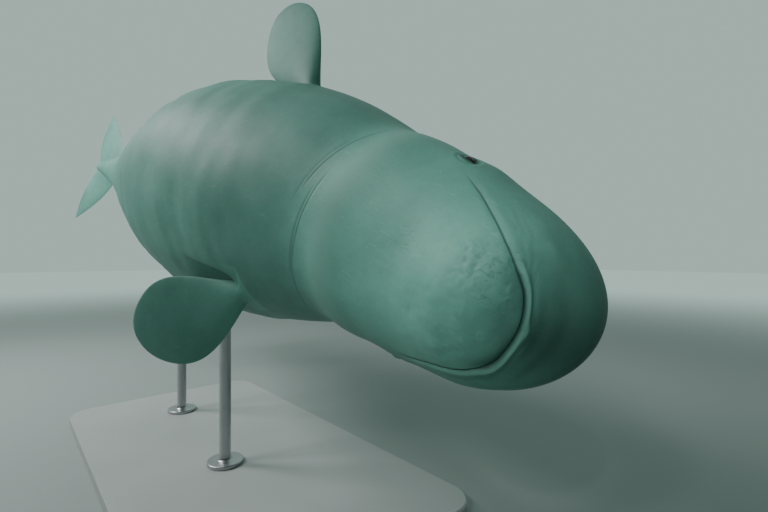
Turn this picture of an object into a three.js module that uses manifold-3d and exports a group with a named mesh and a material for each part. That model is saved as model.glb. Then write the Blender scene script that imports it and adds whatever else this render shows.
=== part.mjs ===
import * as THREE from 'three';
import { mergeVertices } from 'three/addons/utils/BufferGeometryUtils.js';
import Module from 'manifold-3d';

// A life-size beluga whale that banks onto its left side over a flat display base with two rods.
// Millimetres. The origin is the middle of the underside of the base, +Z is up,
// +X is the way the whale swims and +Y is the side that its back faces.

const deg = Math.PI / 180;

// Pose of the whale over its base
const bodyCentre = new THREE.Vector3(205, 10, 1205);
const rollOntoLeftSide = 92.5 * deg;
const noseDown = 9.8 * deg;
const headTurnLeft = 13.5 * deg;
const headBow = 4.2 * deg;
const tailDroop = 9.8 * deg;
const tailTurnRight = 2.4 * deg;
const flukeDroop = 6 * deg;
const neckBend = [350, 950];
const tailBend = [1900, 3600];
const flukeBend = [3450, 3800];
const bendOrigin = 1500;
const sway = { shift: -10, at: 1700, reach: 650 };

// Loft of the body, nose to tail, before the neck and the tail bend.
// Each row: crown s, crown z, keel s, keel z, half width, level of the widest place (0 keel, 1 crown).
// s runs back from the front of the lips, z towards the back of the animal.
const stations = [
  [14, -100, 14, -100, 0, 0.5],
  [10, -76, 32, -127, 58, 0.5],
  [6, -48, 54, -155, 89, 0.5],
  [-8, -6, 90, -182, 114, 0.48],
  [-36, 54, 140, -203, 144, 0.46],
  [-14, 127, 200, -205, 180, 0.44],
  [60, 184, 270, -207, 211, 0.42],
  [200, 202, 345, -220, 240, 0.42],
  [340, 198, 440, -250, 256, 0.43],
  [500, 206, 560, -300, 276, 0.45],
  [720, 238, 740, -362, 335, 0.46],
  [980, 288, 980, -415, 389, 0.47],
  [1350, 345, 1350, -452, 435, 0.47],
  [1750, 385, 1750, -438, 433, 0.47],
  [2150, 390, 2150, -390, 412, 0.48],
  [2550, 328, 2550, -325, 354, 0.49],
  [2950, 246, 2950, -238, 252, 0.5],
  [3300, 170, 3300, -160, 158, 0.5],
  [3600, 110, 3600, -103, 88, 0.5],
  [3780, 68, 3780, -62, 50, 0.5],
  [3890, 30, 3890, -28, 28, 0.5],
  [3910, 0, 3910, 0, 0, 0.5],
];
const lastStation = stations.length - 1;

// Mouth: angle of the lip line round each of the first stations, measured from the crown,
// and how much further round it lies on the left than on the right, halved
const mouthAngles = [
  [99, -2],
  [101, -3.5],
  [105, -3.5],
  [110, 0],
  [114.5, 2.5],
  [117.5, 3.5],
  [115, 3.5],
  [112, 3],
  [112, 0],
].map((row) => row.map((a) => a * deg));
const mouthCorner = 6.4;
const lipGap = { depth: 6, halfWidth: 5 };
const upperLip = { height: 6, from: -20, halfWidth: 12 };
const melonCrease = { height: -5, from: -40, halfWidth: 9 };
const lowerLip = { height: 3, from: 15, halfWidth: 9 };

// Folds and bumps of the skin that stand out in the shape
const neckFold = { station: 8.87, depth: 5, halfWidth: 0.045 };
const neckRoll = { station: 8.55, height: 5, halfWidth: 0.25 };
const backRidge = { height: 14, halfWidth: 22, from: 1850, to: 2750 };

// Eyes, a little behind and above the corners of the mouth
const eye = { station: 7.15, angle: 95 * deg, ball: 21, proud: 3, openLength: 34, openHeight: 17, lid: 7 };
const browBump = { station: 7.0, angle: 82 * deg, height: 7, reach: 48 };

// Blowhole on the crown, a crescent that opens towards the tail
const blowhole = { station: 8.35, width: 62, sag: 16, slot: 6, depth: 14 };

// Flippers: a paddle with a rounded end, thick at the root
const flipper = {
  length: 395,
  lean: 12,
  rootLead: 58,
  rootTrail: 24,
  lead: 182,
  trail: 148,
  growth: 0.77,
  rootThickness: 56,
  tipThickness: 24,
  buried: 50,
};
const flipperPose = {
  left: { side: 1, s: 900, angle: 132 * deg, sweep: 43 * deg, droop: 44 * deg, twist: -58 * deg },
  right: { side: -1, s: 1030, angle: 86 * deg, sweep: 42 * deg, droop: 5 * deg, twist: -13 * deg },
};

// Flukes: two blades with a notch between them, rolled with the tail
const fluke = {
  span: 450,
  front: 3560,
  notch: 3900,
  sweep: 385,
  tip: 4020,
  bulge: 45,
  thickness: 50,
  tipThickness: 12,
  roll: 14 * deg,
};

// Cuts that part the solids, and the clearance that is left at each
const clearance = 0.3;
const headCut = 555;
const neckCut = 800;
const tailCut = 2800;

// Display stand
const base = { length: 2100, width: 1050, height: 50, corner: 120, chamfer: 6 };
const rod = { radius: 24, footRadius: 75, footHeight: 16, padRadius: 62, padHeight: 70 };
const rodStations = { front: 1480, rear: 2300 };

const wasm = await Module();
wasm.setup();

const clamp = THREE.MathUtils.clamp;
const lerp = THREE.MathUtils.lerp;

function smoothStep(from, to, x) {
  return THREE.MathUtils.smoothstep(x, from, to);
}

function bell(x, middle, halfWidth) {
  return Math.exp(-(((x - middle) / halfWidth) ** 2));
}

// A smooth curve through the rows of a table, one unit of u per row
function tableAt(table, u) {
  const last = table.length - 1;
  const x = clamp(u, 0, last - 1e-6);
  const i = Math.floor(x);
  const t = x - i;
  const row = (k) => table[clamp(k, 0, last)];
  return table[0].map((_, c) => {
    const b = row(i)[c];
    const d = row(i + 1)[c];
    const a = i > 0 ? row(i - 1)[c] : 2 * b - d;
    const e = i + 2 <= last ? row(i + 2)[c] : 2 * d - b;
    return 0.5 * (2 * b + (d - a) * t + (2 * a - 5 * b + 4 * d - e) * t * t + (3 * b - a - 3 * d + e) * t ** 3);
  });
}

function mouthAngle(u, side) {
  const [angle, lean] = tableAt(mouthAngles, Math.min(u, mouthAngles.length - 1));
  return angle + side * lean;
}

// Centre, crown, keel and half width of the section at station u
function section(u) {
  const [crownS, crownZ, keelS, keelZ, width, level] = tableAt(stations, u);
  const crown = new THREE.Vector2(crownS, crownZ);
  const keel = new THREE.Vector2(keelS, keelZ);
  return { crown, keel, middle: keel.clone().lerp(crown, level), width: Math.max(width, 0) };
}

// Point of the plain loft at station u and angle v from the crown, positive to the animal's left
function loftPoint(u, v) {
  const { crown, keel, middle, width } = section(u);
  const up = Math.max(Math.cos(v), 0);
  const down = Math.max(-Math.cos(v), 0);
  const s = middle.x + up * (crown.x - middle.x) + down * (keel.x - middle.x);
  const z = middle.y + up * (crown.y - middle.y) + down * (keel.y - middle.y);
  return new THREE.Vector3(s, width * Math.sin(v), z);
}

function loftNormal(u, v) {
  if (u < 0.01) return new THREE.Vector3(-1, 0, 0);
  if (u > lastStation - 0.01) return new THREE.Vector3(1, 0, 0);
  const alongU = loftPoint(u + 0.004, v).sub(loftPoint(u - 0.004, v));
  const alongV = loftPoint(u, v + 0.002).sub(loftPoint(u, v - 0.002));
  return alongV.cross(alongU).normalize().negate();
}

// Height of the lips, folds and ridges over the plain loft
function relief(u, v) {
  const point = loftPoint(u, v);
  const { middle } = section(u);
  const radius = Math.hypot(point.x - middle.x, point.y, point.z - middle.y);
  const turn = clamp(Math.abs(v) - mouthAngle(u, Math.sign(v)), -90 * deg, 90 * deg);
  const fromLips = radius * Math.sin(turn);
  const mouthFade = 1 - smoothStep(mouthCorner - 0.5, mouthCorner + 0.25, u);
  const lips = [upperLip, melonCrease, lowerLip];
  let height = -lipGap.depth * bell(fromLips, 0, lipGap.halfWidth);
  for (const ridge of lips) height += ridge.height * bell(fromLips, ridge.from, ridge.halfWidth);
  height *= mouthFade;
  const lowSide = smoothStep(40 * deg, 110 * deg, Math.abs(v));
  height -= neckFold.depth * bell(u, neckFold.station, neckFold.halfWidth) * lowSide;
  height += neckRoll.height * bell(u, neckRoll.station, neckRoll.halfWidth) * lowSide;
  const ridgeFade = smoothStep(backRidge.from, backRidge.from + 250, point.x)
    - smoothStep(backRidge.to - 350, backRidge.to, point.x);
  const onBack = Math.cos(v) > 0 ? bell(point.y, 0, backRidge.halfWidth) : 0;
  height += backRidge.height * ridgeFade * onBack;
  const brow = loftPoint(browBump.station, browBump.angle * Math.sign(v || 1));
  height += browBump.height * bell(point.distanceTo(brow), 0, browBump.reach);
  return height;
}

// The spine, drawn as a chain of short steps that carries the turns of the neck and the tail
const spineStep = 10;
const spineStart = -300;
const spine = drawSpine();

function drawSpine() {
  const chain = [];
  const place = new THREE.Vector3();
  let previous = null;
  for (let s = spineStart; s <= 4400; s += spineStep) {
    const neck = 1 - smoothStep(...neckBend, s);
    const tail = smoothStep(...tailBend, s);
    const pitch = headBow * neck - tailDroop * tail - flukeDroop * smoothStep(...flukeBend, s);
    const yaw = -headTurnLeft * neck - tailTurnRight * tail;
    const level = Math.cos(pitch);
    const back = new THREE.Vector3(-level * Math.cos(yaw), level * Math.sin(yaw), Math.sin(pitch));
    const left = new THREE.Vector3(Math.sin(yaw), Math.cos(yaw), 0);
    const dorsal = back.clone().negate().cross(left);
    if (previous) place.addScaledVector(previous.clone().add(back), spineStep / 2);
    chain.push({ place: place.clone(), left, dorsal });
    previous = back;
  }
  const origin = chain[(bendOrigin - spineStart) / spineStep].place.clone();
  for (const link of chain) link.place.sub(origin);
  return chain;
}

// From the straight loft to the bent animal: x forward, y to its left, z towards its back
function bend(p) {
  const x = clamp((p.x - spineStart) / spineStep, 0, spine.length - 1.001);
  const i = Math.floor(x);
  const mix = (key) => spine[i][key].clone().lerp(spine[i + 1][key], x - i);
  const aside = p.y + sway.shift * bell(p.x, sway.at, sway.reach);
  return mix('place').addScaledVector(mix('left'), aside).addScaledVector(mix('dorsal'), p.z);
}

function skinPoint(u, v, lift = 0) {
  const height = relief(u, v) + lift;
  return bend(loftPoint(u, v).addScaledVector(loftNormal(u, v), height));
}

// Station of the loft whose section stands at distance s behind the lips
function stationAt(s) {
  let low = 0;
  let high = lastStation;
  while (high - low > 1e-4) {
    const u = (low + high) / 2;
    if (section(u).middle.x < s) low = u;
    else high = u;
  }
  return low;
}

// A closed geometry from rings of points, with a fan at each end
function closedRings(rings, startPoint, endPoint) {
  const count = rings[0].length;
  const points = [startPoint, ...rings.flat(), endPoint];
  const index = [];
  const at = (r, c) => 1 + r * count + ((c + count) % count);
  const end = points.length - 1;
  for (let c = 0; c < count; c += 1) {
    index.push(0, at(0, c + 1), at(0, c));
    index.push(end, at(rings.length - 1, c), at(rings.length - 1, c + 1));
    for (let r = 0; r + 1 < rings.length; r += 1) {
      index.push(at(r, c), at(r, c + 1), at(r + 1, c + 1));
      index.push(at(r, c), at(r + 1, c + 1), at(r + 1, c));
    }
  }
  const geometry = new THREE.BufferGeometry();
  geometry.setAttribute('position', new THREE.Float32BufferAttribute(points.flatMap((p) => p.toArray()), 3));
  geometry.setIndex(index);
  return geometry;
}

// Solid from a closed geometry, turned right side out where it isn't
function solidOf(geometry) {
  const bare = new THREE.BufferGeometry();
  bare.setAttribute('position', geometry.getAttribute('position'));
  if (geometry.index) bare.setIndex(geometry.index);
  const merged = mergeVertices(bare, 1e-4);
  const triVerts = new Uint32Array(merged.index.array);
  const vertProperties = new Float32Array(merged.getAttribute('position').array);
  if (signedVolume(vertProperties, triVerts) < 0) {
    for (let t = 0; t < triVerts.length; t += 3) {
      [triVerts[t], triVerts[t + 1]] = [triVerts[t + 1], triVerts[t]];
    }
  }
  return new wasm.Manifold(new wasm.Mesh({ numProp: 3, vertProperties, triVerts }));
}

function signedVolume(positions, index) {
  const [a, b, c] = [0, 0, 0].map(() => new THREE.Vector3());
  let volume = 0;
  for (let t = 0; t < index.length; t += 3) {
    a.fromArray(positions, 3 * index[t]);
    b.fromArray(positions, 3 * index[t + 1]);
    c.fromArray(positions, 3 * index[t + 2]);
    volume += a.dot(b.cross(c)) / 6;
  }
  return volume;
}

function geometryOf(solid) {
  const { vertProperties, triVerts, numProp } = solid.getMesh();
  const positions = [];
  for (let i = 0; i < vertProperties.length; i += numProp) {
    positions.push(vertProperties[i], vertProperties[i + 1], vertProperties[i + 2]);
  }
  const geometry = new THREE.BufferGeometry();
  geometry.setAttribute('position', new THREE.Float32BufferAttribute(positions, 3));
  geometry.setIndex(Array.from(triVerts));
  geometry.computeVertexNormals();
  return geometry;
}

// The largest closed piece of a solid, without slivers that a cut has left
function mainPiece(solid) {
  return solid.decompose().sort((a, b) => b.volume() - a.volume())[0];
}

// Angles round a section: close together at the lips on the head, evenly spaced on the body
const lipOffsets = [5, 10, 20, 31, 42, 60];
const chinOffsets = [5, 10, 18, 32];
const upperColumns = 13;
const lowerColumns = 9;

function anglesAt(u) {
  const radius = Math.max(section(u).width, 1);
  const even = smoothStep(mouthCorner, 9, u);
  const halfRing = (side) => {
    const lips = mouthAngle(u, side);
    const angles = [];
    for (let j = upperColumns; j > 0; j -= 1) {
      angles.push(lips - offsetAngle(lipOffsets, j, upperColumns, lips, radius, even));
    }
    angles.push(lips);
    for (let j = 1; j <= lowerColumns; j += 1) {
      angles.push(lips + offsetAngle(chinOffsets, j, lowerColumns, Math.PI - lips, radius, even));
    }
    return angles;
  };
  const right = halfRing(-1).slice(1, -1).reverse().map((v) => -v);
  return [...halfRing(1), ...right];
}

function offsetAngle(offsets, j, count, room, radius, even) {
  const spaced = (room * j) / count;
  const limit = (k) => Math.min(offsets[k] / radius, (k + 1) * 8 * deg);
  const last = offsets.length;
  if (j <= last) return lerp(limit(j - 1), spaced, even);
  const outer = limit(last - 1);
  return lerp(outer + ((room - outer) * (j - last)) / (count - last), spaced, even);
}

function stationRows() {
  const rows = [0.12, 0.3, 0.55, 0.8, 1.1, 1.45, 1.8, 2.2, 2.6];
  for (let u = 3; u < 8.3; u += 0.44) rows.push(u);
  rows.push(8.55, 8.74, 8.82, 8.87, 8.92, 9.0, 9.3);
  for (let u = 9.8; u < lastStation - 0.5; u += 0.55) rows.push(u);
  rows.push(lastStation - 0.5, lastStation - 0.2);
  return rows;
}

function bodySolid(lift = 0) {
  const rings = stationRows().map((u) => anglesAt(u).map((v) => skinPoint(u, v, lift)));
  return solidOf(closedRings(rings, skinPoint(0, 0, lift), skinPoint(lastStation, 0, lift)));
}

function middleOf(points) {
  const sum = points.reduce((total, p) => total.add(p), new THREE.Vector3());
  return sum.divideScalar(points.length);
}

// Rounded blade: both faces share the outline and are split into the same triangles
function blade(spanSteps, chordSteps, edges, thicknessAt, place) {
  const ring = (t) => {
    const points = [];
    const [trail, lead] = edges(t);
    const side = (k, sign) => {
      const c = -Math.cos((Math.PI * k) / chordSteps);
      const across = lerp(trail, lead, (c + 1) / 2);
      return place(t, across, (sign * thicknessAt(t) * Math.sqrt(Math.max(1 - c * c, 0)) ** 1.4) / 2);
    };
    for (let k = 0; k <= chordSteps; k += 1) points.push(side(k, 1));
    for (let k = chordSteps - 1; k > 0; k -= 1) points.push(side(k, -1));
    return points;
  };
  const steps = [];
  const nearTip = 0.992;
  for (let i = 0; i <= spanSteps; i += 1) {
    steps.push(ring(nearTip * Math.sin(90 * deg * (i / spanSteps) ** 0.9)));
  }
  return solidOf(closedRings(steps, middleOf(steps[0]), middleOf(steps[spanSteps])));
}

function flipperFrame(pose) {
  const { side, sweep, droop, twist } = pose;
  const along = new THREE.Vector3(
    -Math.sin(sweep),
    side * Math.cos(sweep) * Math.cos(droop),
    -Math.cos(sweep) * Math.sin(droop),
  );
  const forward = new THREE.Vector3(1, 0, 0);
  const flat = forward.clone().addScaledVector(along, -forward.dot(along)).normalize();
  const normal = along.clone().cross(flat).multiplyScalar(side);
  const lead = flat.clone().multiplyScalar(Math.cos(twist)).addScaledVector(normal, Math.sin(twist));
  return { along, lead, normal: along.clone().cross(lead).multiplyScalar(side) };
}

function flipperSolid(pose) {
  const { along, lead, normal } = flipperFrame(pose);
  const root = bend(loftPoint(stationAt(pose.s), pose.angle * pose.side)).addScaledVector(along, -30);
  const reach = flipper.length + flipper.buried;
  const outward = (t) => (t * reach - flipper.buried) / flipper.length;
  const edges = (t) => {
    const x = clamp(outward(t), 0, 1);
    const growth = Math.sin(90 * deg * Math.min(x / flipper.growth, 1));
    const lean = flipper.lean * x ** 1.5;
    const front = lerp(flipper.rootLead, flipper.lead, growth) * Math.sqrt(Math.max(1 - x ** 2.9, 0));
    const rear = lerp(flipper.rootTrail, flipper.trail, growth ** 1.3) * Math.sqrt(Math.max(1 - x ** 3, 0));
    return [lean - rear, lean + front];
  };
  const thickness = (t) => {
    const x = clamp(outward(t), 0, 1);
    const end = Math.sqrt(Math.max(1 - x ** 5, 0));
    return lerp(flipper.rootThickness, flipper.tipThickness, x ** 0.8) * end;
  };
  const place = (t, across, up) => root.clone()
    .addScaledVector(along, t * reach - flipper.buried)
    .addScaledVector(lead, across)
    .addScaledVector(normal, up);
  return blade(15, 9, edges, thickness, place);
}

// One blade of the tail: its front edge sweeps back in a curve and its rear edge bulges out
function flukeSolid(side) {
  const edges = (t) => {
    const front = fluke.front + fluke.sweep * t ** 1.7;
    const rear = lerp(fluke.notch, fluke.tip, t) + fluke.bulge * Math.sin(Math.PI * t);
    const middle = (front + rear) / 2;
    const half = ((rear - front) / 2) * Math.sqrt(Math.max(1 - t ** 4, 0));
    return [middle + half, middle - half];
  };
  const thickness = (t) => {
    const end = Math.sqrt(Math.max(1 - t ** 6, 0));
    return lerp(fluke.thickness, fluke.tipThickness, t ** 0.7) * end;
  };
  const place = (t, s, up) => {
    const y = side * t * fluke.span;
    const level = up * Math.cos(fluke.roll) - y * Math.sin(fluke.roll);
    return bend(new THREE.Vector3(s, y * Math.cos(fluke.roll) + up * Math.sin(fluke.roll), level));
  };
  return blade(14, 9, edges, thickness, place);
}

// Thin sheet along a profile of (s, z) points, as wide as the animal, bent with it. At each point
// its slope says how fast it climbs to the animal's left. Both faces split along the same lines
function profileSheet(profile, halfWidth, slopes = profile.map(() => 0), thickness = clearance) {
  const curve = profile.map(([s, z]) => new THREE.Vector2(s, z));
  const points = curve.flatMap((middle, i) => {
    const before = curve[Math.max(i - 1, 0)];
    const after = curve[Math.min(i + 1, curve.length - 1)];
    const run = after.clone().sub(before).normalize();
    return [0.5, -0.5].flatMap((layer) => [-halfWidth, halfWidth].map((y) => {
      const lift = layer * thickness;
      return bend(new THREE.Vector3(middle.x - run.y * lift, y, middle.y + run.x * lift + y * slopes[i]));
    }));
  });
  const index = [];
  const quad = (a, b, c, d) => index.push(a, b, c, a, c, d);
  const last = 4 * (curve.length - 1);
  for (let k = 0; k < last; k += 4) {
    const [a, d, under, underLeft] = [k, k + 1, k + 2, k + 3];
    quad(a, a + 4, d + 4, d);
    index.push(under, underLeft + 4, under + 4, under, underLeft, underLeft + 4);
    quad(a + 4, a, under, under + 4);
    quad(d, d + 4, underLeft + 4, underLeft);
  }
  quad(0, 1, 3, 2);
  quad(last + 1, last, last + 2, last + 3);
  const geometry = new THREE.BufferGeometry();
  geometry.setAttribute('position', new THREE.Float32BufferAttribute(points.flatMap((p) => p.toArray()), 3));
  geometry.setIndex(index);
  return solidOf(geometry);
}

// The cut between the head and the lower jaw: in at the lips, back to the corner, then down the throat
function jawSheet() {
  const front = loftPoint(0, 0);
  const profile = [[front.x - 90, front.z]];
  const slopes = [0];
  for (let u = mouthCorner / 16; u <= mouthCorner + 0.01; u += mouthCorner / 16) {
    const left = loftPoint(u, mouthAngle(u, 1));
    const right = loftPoint(u, -mouthAngle(u, -1));
    profile.push([(left.x + right.x) / 2, (left.z + right.z) / 2]);
    slopes.push((left.z - right.z) / (left.y - right.y));
  }
  const [s, z] = profile[profile.length - 1];
  const throat = [[s + 34, z - 18], [s + 62, z - 52], [s + 84, z - 110], [s + 104, z - 260]];
  const corner = slopes[slopes.length - 1];
  return profileSheet([...profile, ...throat], 420, [...slopes, ...throat.map(() => corner)]);
}

function crossSheet(s) {
  return profileSheet([[s, -620], [s, 560]], 620);
}

// Eye: a ball in a socket, with a rim of lids round an almond opening
function eyePlace(side) {
  const angle = side * eye.angle;
  const outer = skinPoint(eye.station, angle);
  const out = skinPoint(eye.station, angle, 10).sub(outer).normalize();
  const back = skinPoint(eye.station + 0.3, angle).sub(outer);
  const along = back.addScaledVector(out, -back.dot(out)).normalize();
  const across = out.clone().cross(along).normalize();
  const matrix = new THREE.Matrix4().makeBasis(along, across, out);
  return matrix.setPosition(outer.addScaledVector(out, eye.proud - eye.ball));
}

function eyeBall(side, radius) {
  const geometry = new THREE.SphereGeometry(radius, 18, 12);
  return solidOf(geometry.applyMatrix4(eyePlace(side)));
}

function eyeLids(side) {
  const ring = new THREE.TorusGeometry(1, 0.34, 7, 22);
  const stretch = new THREE.Matrix4().makeScale(
    eye.openLength / 2 + eye.lid * 0.6,
    eye.openHeight / 2 + eye.lid * 0.6,
    eye.lid * 1.1,
  );
  stretch.setPosition(0, 0, eye.ball - eye.proud - 1.5);
  return solidOf(ring.applyMatrix4(stretch).applyMatrix4(eyePlace(side)));
}

// Crescent slot across the crown, its horns towards the nose
function blowholeSlot() {
  const middle = skinPoint(blowhole.station, 0);
  const out = skinPoint(blowhole.station, 0, 10).sub(middle).normalize();
  const back = skinPoint(blowhole.station + 0.3, 0).sub(middle).normalize();
  const left = out.clone().cross(back).normalize();
  const arc = new THREE.QuadraticBezierCurve3(
    middle.clone().addScaledVector(left, -blowhole.width / 2).addScaledVector(back, -blowhole.sag),
    middle.clone().addScaledVector(back, blowhole.sag),
    middle.clone().addScaledVector(left, blowhole.width / 2).addScaledVector(back, -blowhole.sag),
  );
  const slot = new THREE.Shape();
  slot.absellipse(0, 0, blowhole.depth, blowhole.slot / 2, 0, 2 * Math.PI, false, 0);
  const options = { steps: 12, curveSegments: 3, bevelEnabled: false, extrudePath: arc };
  return solidOf(new THREE.ExtrudeGeometry(slot, options));
}

// Display stand
function baseGeometry() {
  const { length, width, height, corner, chamfer } = base;
  const [x, y] = [length / 2 - chamfer, width / 2 - chamfer];
  const r = corner - chamfer;
  const outline = new THREE.Shape();
  outline.absarc(x - r, y - r, r, 0, 90 * deg);
  outline.absarc(-x + r, y - r, r, 90 * deg, 180 * deg);
  outline.absarc(-x + r, -y + r, r, 180 * deg, 270 * deg);
  outline.absarc(x - r, -y + r, r, 270 * deg, 360 * deg);
  const plate = new THREE.ExtrudeGeometry(outline, {
    depth: height - 2 * chamfer,
    curveSegments: 6,
    bevelThickness: chamfer,
    bevelSize: chamfer,
    bevelSegments: 1,
  });
  return plate.translate(0, 0, chamfer);
}

// Turned rod: a wide foot on the base, a plain shaft and a flared pad under the skin
function rodGeometry(top) {
  const { radius, footRadius, footHeight, padRadius, padHeight } = rod;
  const low = base.height + clearance;
  const profile = [
    [0, low],
    [footRadius, low],
    [footRadius, low + footHeight - 4],
    [footRadius - 4, low + footHeight],
    [radius + 10, low + footHeight],
    [radius + 3, low + footHeight + 4],
    [radius, low + footHeight + 14],
    [radius, top - padHeight - 60],
    [radius + 6, top - padHeight - 30],
    [padRadius, top - padHeight],
    [padRadius, top + 90],
    [0, top + 90],
  ].map(([x, z]) => new THREE.Vector2(x, z));
  return new THREE.LatheGeometry(profile, 20).rotateX(90 * deg);
}

// Put the animal together
const pose = new THREE.Matrix4()
  .makeRotationY(noseDown)
  .multiply(new THREE.Matrix4().makeRotationX(-rollOntoLeftSide))
  .setPosition(bodyCentre);

const skinMaterial = { color: 0xb9c6bf, roughness: 0.55, metalness: 0 };
const eyeMaterial = { color: 0x14110f, roughness: 0.15, metalness: 0 };
const baseMaterial = { color: 0x8d9492, roughness: 0.6, metalness: 0 };
const rodMaterial = { color: 0x9aa0a2, roughness: 0.35, metalness: 1 };

function addMesh(group, name, geometry, finish) {
  const mesh = new THREE.Mesh(geometry, new THREE.MeshStandardMaterial(finish));
  mesh.name = name;
  group.add(mesh);
}

const body = bodySolid();
const bodySkin = bodySolid(clearance);
let flesh = body;
const eyes = {};
for (const [name, side] of [['left', 1], ['right', -1]]) {
  flesh = flesh.add(eyeLids(side)).subtract(eyeBall(side, eye.ball + clearance));
  eyes[name] = eyeBall(side, eye.ball);
}
flesh = flesh.subtract(blowholeSlot());

const cuts = [jawSheet(), crossSheet(headCut), crossSheet(neckCut), crossSheet(tailCut)];
for (const cut of cuts) flesh = flesh.subtract(cut);
const pieces = flesh.decompose().sort((a, b) => b.volume() - a.volume()).slice(0, 5);
const reachOf = (piece) => piece.boundingBox().max[0];
const byReach = pieces.sort((a, b) => reachOf(a) - reachOf(b));
const pieceNames = ['tail_stock', 'torso', 'neck', 'lower_jaw', 'head'];

const whale = new THREE.Group();
whale.applyMatrix4(pose);
byReach.forEach((piece, i) => addMesh(whale, pieceNames[i], geometryOf(piece), skinMaterial));
for (const name of ['left', 'right']) {
  addMesh(whale, `eye_${name}`, geometryOf(eyes[name]), eyeMaterial);
  const paddle = mainPiece(flipperSolid(flipperPose[name]).subtract(bodySkin));
  addMesh(whale, `flipper_${name}`, geometryOf(paddle), skinMaterial);
}

const flukeLeft = flukeSolid(1);
const flukeRight = flukeSolid(-1);
addMesh(whale, 'fluke_left', geometryOf(mainPiece(flukeLeft.subtract(bodySkin))), skinMaterial);
addMesh(whale, 'fluke_right', geometryOf(mainPiece(flukeRight.subtract(bodySkin))), skinMaterial);

const stand = new THREE.Group();
addMesh(stand, 'stand_base', geometryOf(solidOf(baseGeometry())), baseMaterial);
const posedSkin = solidOf(geometryOf(bodySkin).applyMatrix4(pose));
for (const [name, s] of Object.entries(rodStations)) {
  const flank = skinPoint(stationAt(s), 90 * deg).applyMatrix4(pose);
  const shaft = solidOf(rodGeometry(flank.z).translate(flank.x, flank.y, 0));
  addMesh(stand, `stand_rod_${name}`, geometryOf(mainPiece(shaft.subtract(posedSkin))), rodMaterial);
}

const group = new THREE.Group();
group.add(whale, stand);

export default group;
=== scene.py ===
import math

import bmesh
import bpy
import numpy as np
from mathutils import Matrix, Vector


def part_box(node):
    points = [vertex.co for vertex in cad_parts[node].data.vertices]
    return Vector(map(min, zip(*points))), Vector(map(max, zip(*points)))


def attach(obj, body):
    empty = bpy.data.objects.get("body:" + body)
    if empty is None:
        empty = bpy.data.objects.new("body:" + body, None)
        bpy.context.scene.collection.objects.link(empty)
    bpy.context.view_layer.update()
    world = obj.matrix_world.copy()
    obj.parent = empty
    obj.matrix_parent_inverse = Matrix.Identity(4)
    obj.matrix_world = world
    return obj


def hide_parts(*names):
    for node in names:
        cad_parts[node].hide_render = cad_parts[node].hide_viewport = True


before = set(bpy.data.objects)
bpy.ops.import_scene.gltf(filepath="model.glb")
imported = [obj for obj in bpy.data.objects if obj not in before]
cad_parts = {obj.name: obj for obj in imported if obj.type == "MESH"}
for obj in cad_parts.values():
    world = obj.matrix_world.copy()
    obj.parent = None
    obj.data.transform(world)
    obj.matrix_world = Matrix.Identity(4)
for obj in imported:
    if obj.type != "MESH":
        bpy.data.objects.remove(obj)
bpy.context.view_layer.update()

# The trunk of the whale: one smooth skin over blubber, from the lips to the notch of the flukes.
# It is a loft of oval sections, drawn straight first and then bent at the neck and the tail.
# s runs back from the lips, y to the animal's left and z towards its back, all in metres.

# crown s, crown z, keel s, keel z and half width in mm, and the level of the widest place
TRUNK_SECTIONS = np.array([
    [14, -100, 14, -100, 0, 0.50], [10, -76, 32, -127, 58, 0.50],
    [6, -48, 54, -155, 89, 0.50], [-8, -6, 90, -182, 114, 0.48],
    [-36, 54, 140, -203, 144, 0.46], [-14, 127, 200, -205, 180, 0.44],
    [60, 184, 270, -207, 211, 0.42], [200, 202, 345, -220, 240, 0.42],
    [340, 198, 440, -250, 256, 0.43], [500, 206, 560, -300, 276, 0.45],
    [720, 238, 740, -362, 335, 0.46], [980, 288, 980, -415, 389, 0.47],
    [1350, 345, 1350, -452, 435, 0.47], [1750, 385, 1750, -438, 433, 0.47],
    [2150, 390, 2150, -390, 412, 0.48], [2550, 328, 2550, -325, 354, 0.49],
    [2950, 246, 2950, -238, 252, 0.50], [3300, 170, 3300, -160, 158, 0.50],
    [3600, 110, 3600, -103, 88, 0.50], [3780, 68, 3780, -62, 50, 0.50],
    [3890, 30, 3890, -28, 28, 0.50], [3910, 0, 3910, 0, 0, 0.50],
]) * [0.001, 0.001, 0.001, 0.001, 0.001, 1]
TAIL_END = len(TRUNK_SECTIONS) - 1
# the section before the lips is the second one turned over, so that the skin runs smooth across them
TURNED_OVER = TRUNK_SECTIONS[1][[2, 3, 0, 1, 4, 5]] * [1, 1, 1, 1, -1, 1]

# angle of the lip line from the crown at the first sections, and its lean towards the left side
LIP_LINE = np.radians([[91, 0], [100.5, -3.5], [105, -3.5], [110, 0], [114.5, 2.5], [117.5, 3.5],
                       [115, 3.5], [112, 3], [112, 0]])
MOUTH_CORNER = 6.4

# where the body hangs and how it is turned; then the bends of the spine, and from and to which s
BODY_CENTRE = np.array([0.205, 0.010, 1.205])
ROLL_ONTO_LEFT = math.radians(92.5)
NOSE_DOWN = math.radians(9.8)
HEAD_TURN, HEAD_BOW = math.radians(13.5), math.radians(4.2)
TAIL_DROOP, TAIL_TURN, FLUKE_DROOP = math.radians(9.8), math.radians(2.4), math.radians(6)
NECK_BEND, TAIL_BEND, FLUKE_BEND = (0.35, 0.95), (1.9, 3.6), (3.45, 3.8)
SPINE_START, SPINE_END, SPINE_STEP, SPINE_FIXED = -0.3, 4.4, 0.01, 1.5
# the body sags sideways off its spine: how far, about which s, and over what half length
SAG, SAG_MIDDLE, SAG_HALF = 0.010, 1.7, 0.65


def ease(low, high, x):
    """Smooth step: 3t^2 - 2t^3 of the share t of x between low and high."""
    t = np.clip((x - low) / (high - low), 0, 1)
    return t * t * (3 - 2 * t)


def bell(x, middle, half):
    """Round bump: e to the minus square of the distance from middle in half widths."""
    return np.exp(-((x - middle) / half) ** 2)


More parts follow.
